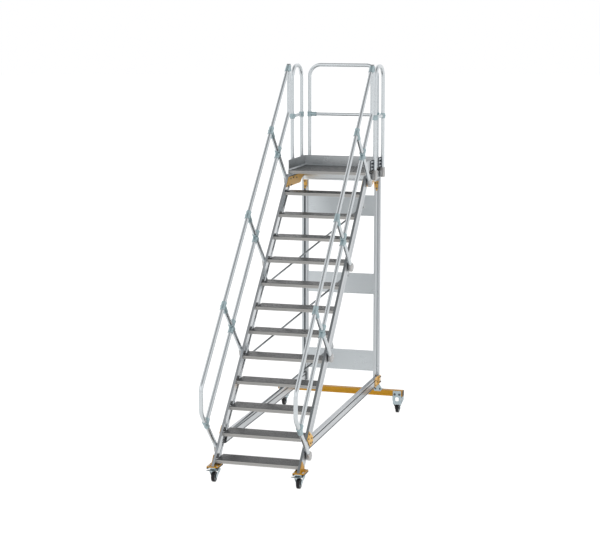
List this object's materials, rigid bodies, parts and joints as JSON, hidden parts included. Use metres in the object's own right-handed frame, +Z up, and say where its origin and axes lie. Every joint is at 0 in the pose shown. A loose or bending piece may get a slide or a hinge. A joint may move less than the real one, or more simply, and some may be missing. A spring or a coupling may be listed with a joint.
{
  "type": "rolling warehouse ladder",
  "caption": "One-sided rolling warehouse stair with ribbed treads, handrails, a guarded top platform, a braced support frame and castors.",
  "frame": {"origin": "centre of the footprint bounding box, on the floor", "axes": "+X to the right of a person facing the stair, +Y from the bottom step towards the platform, +Z up"},
  "size_m": [1.43, 3.459, 3.822],
  "materials": {
    "aluminium": "satin mill aluminium",
    "tread_grey": "ribbed dark grey aluminium",
    "panel_silver": "brushed aluminium profile",
    "amber": "amber powder coat",
    "zinc": "blue zinc plated steel",
    "rubber": "black rubber tread on a grey core"
  },
  "bodies": {
    "frame": {"base_beam_left": "aluminium", "base_beam_right": "aluminium", "cross_panel_1": "panel_silver", "cross_panel_2": "panel_silver", "cross_panel_3": "panel_silver", "deck": "tread_grey", "flight_brace_1": "aluminium", "flight_brace_2": "aluminium", "flight_brace_3": "aluminium", "foot_plate_left": "amber", "foot_plate_right": "amber", "knee_rail_left": "aluminium", "knee_rail_right": "aluminium", "platform_beam_left": "aluminium", "platform_beam_rear": "aluminium", "platform_beam_right": "aluminium", "post_left_1": "aluminium", "post_left_2": "aluminium", "post_left_3": "aluminium", "post_right_1": "aluminium", "post_right_2": "aluminium", "post_right_3": "aluminium", "rear_castor_left": "zinc", "rear_castor_right": "zinc", "rear_guard": "aluminium", "side_guard_left": "aluminium", "side_guard_right": "aluminium", "stair_gusset_left": "amber", "stair_gusset_right": "amber", "stringer_left": "aluminium", "stringer_right": "aluminium", "toe_board_left": "panel_silver", "toe_board_rear": "panel_silver", "toe_board_right": "panel_silver", "top_rail_left": "aluminium", "top_rail_right": "aluminium", "traverse": "amber", "tread_01": "tread_grey", "tread_02": "tread_grey", "tread_03": "tread_grey", "tread_04": "tread_grey", "tread_05": "tread_grey", "tread_06": "tread_grey", "tread_07": "tread_grey", "tread_08": "tread_grey", "tread_09": "tread_grey", "tread_10": "tread_grey", "tread_11": "tread_grey", "tread_12": "tread_grey", "upright_left": "aluminium", "upright_right": "aluminium"},
    "swivel_left": {"castor_fork_left": "zinc"},
    "front_wheel_left": {"castor_wheel_left": "rubber"},
    "brake_left": {"brake_pedal_left": "zinc"},
    "rear_wheel_left": {"rear_wheel_left": "rubber"},
    "swivel_right": {"castor_fork_right": "zinc"},
    "front_wheel_right": {"castor_wheel_right": "rubber"},
    "brake_right": {"brake_pedal_right": "zinc"},
    "rear_wheel_right": {"rear_wheel_right": "rubber"}
  },
  "joints": [
    {"name": "swivel_left", "type": "hinge", "parent": "frame", "child": "swivel_left", "pos_m": [-0.416, -1.435, 0.125], "axis": [0, 0, 1], "continuous": true},
    {"name": "front_wheel_spin_left", "type": "hinge", "parent": "swivel_left", "child": "front_wheel_left", "pos_m": [-0.416, -1.4675, 0.05], "axis": [1, 0, 0], "continuous": true},
    {"name": "brake_left", "type": "hinge", "parent": "swivel_left", "child": "brake_left", "pos_m": [-0.416, -1.4815, 0.1155], "axis": [1, 0, 0], "range_deg": [0, 15]},
    {"name": "rear_wheel_spin_left", "type": "hinge", "parent": "frame", "child": "rear_wheel_left", "pos_m": [-0.6515, 1.6325, 0.05], "axis": [1, 0, 0], "continuous": true},
    {"name": "swivel_right", "type": "hinge", "parent": "frame", "child": "swivel_right", "pos_m": [0.416, -1.435, 0.125], "axis": [0, 0, 1], "continuous": true},
    {"name": "front_wheel_spin_right", "type": "hinge", "parent": "swivel_right", "child": "front_wheel_right", "pos_m": [0.416, -1.4675, 0.05], "axis": [1, 0, 0], "continuous": true},
    {"name": "brake_right", "type": "hinge", "parent": "swivel_right", "child": "brake_right", "pos_m": [0.416, -1.4815, 0.1155], "axis": [1, 0, 0], "range_deg": [0, 15]},
    {"name": "rear_wheel_spin_right", "type": "hinge", "parent": "frame", "child": "rear_wheel_right", "pos_m": [0.6515, 1.6325, 0.05], "axis": [1, 0, 0], "continuous": true}
  ]
}
